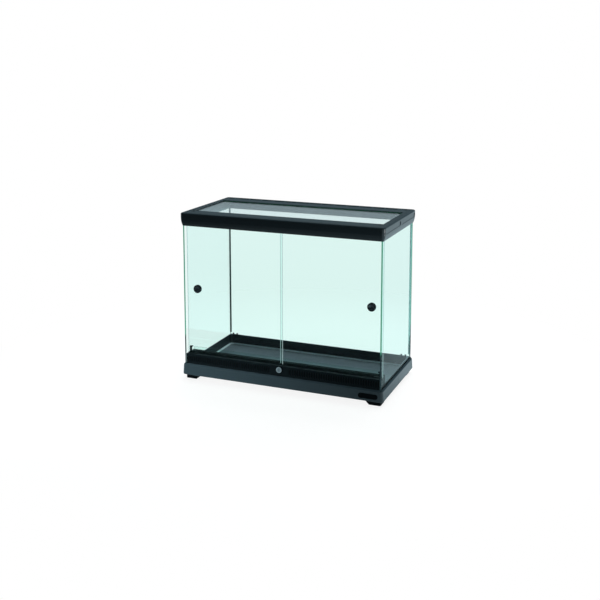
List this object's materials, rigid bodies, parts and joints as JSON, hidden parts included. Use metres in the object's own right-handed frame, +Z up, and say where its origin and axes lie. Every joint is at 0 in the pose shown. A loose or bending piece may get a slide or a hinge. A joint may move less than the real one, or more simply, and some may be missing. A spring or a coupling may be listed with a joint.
{
  "type": "reptile terrarium",
  "caption": "Glass reptile terrarium with moulded base and top frame, glass top, vented front sill and two bypassing sliding glass doors with a cam lock",
  "frame": {"origin": "centre of the footprint, on the surface that the feet stand on", "axes": "+X to the right seen from the front, +Y from the doors to the rear pane, +Z up"},
  "size_m": [0.614, 0.31, 0.494],
  "materials": {
    "charcoal_plastic": "satin, fine moulded grain",
    "black_plastic": "satin",
    "gloss_black": "glossy",
    "clear_glass": "clear float glass with ground edges",
    "silicone": "smooth, translucent",
    "steel_mesh": "fine woven mesh",
    "lock_chrome": "polished",
    "steel": "zinc plated",
    "nylon": "matte",
    "rubber_seal": "matte",
    "black_screws": "black"
  },
  "bodies": {
    "terrarium": {"base_frame": "charcoal_plastic", "floor_tray": "gloss_black", "foot_front_left": "black_plastic", "foot_front_right": "black_plastic", "foot_rear_left": "black_plastic", "foot_rear_right": "black_plastic", "badge_plate": "gloss_black", "left_pane": "clear_glass", "right_pane": "clear_glass", "rear_pane": "clear_glass", "corner_seals": "silicone", "front_sill": "black_plastic", "front_vent_mesh": "steel_mesh", "sill_vent_mesh": "steel_mesh", "sill_guard": "clear_glass", "lower_track": "black_plastic", "track_end_left": "black_plastic", "track_end_right": "black_plastic", "lock_bezel": "black_plastic", "lock_barrel": "lock_chrome", "lock_nut": "lock_chrome", "upper_track": "black_plastic", "top_frame": "charcoal_plastic", "top_pane": "clear_glass", "pane_gasket": "rubber_seal", "top_retainer": "black_plastic", "rear_vent_grille": "charcoal_plastic", "rear_vent_mesh": "steel_mesh", "frame_screws": "black_screws"},
    "left_sliding_door": {"left_door": "clear_glass", "left_door_glides": "nylon", "left_pull_cup": "gloss_black", "left_pull_ring": "gloss_black"},
    "right_sliding_door": {"right_door": "clear_glass", "right_door_glides": "nylon", "right_pull_cup": "gloss_black", "right_pull_ring": "gloss_black"},
    "lock_core": {"lock_plug": "lock_chrome", "lock_cam": "steel", "cam_screw": "steel"}
  },
  "joints": [
    {"name": "left_door_slide", "type": "slide", "parent": "terrarium", "child": "left_sliding_door", "axis": [1, 0, 0], "range_m": [0, 0.27]},
    {"name": "right_door_slide", "type": "slide", "parent": "terrarium", "child": "right_sliding_door", "axis": [-1, 0, 0], "range_m": [0, 0.27]},
    {"name": "lock_turn", "type": "hinge", "parent": "terrarium", "child": "lock_core", "pos_m": [0, -0.1394, 0.064], "axis": [0, -1, 0], "range_deg": [0, 90]}
  ]
}
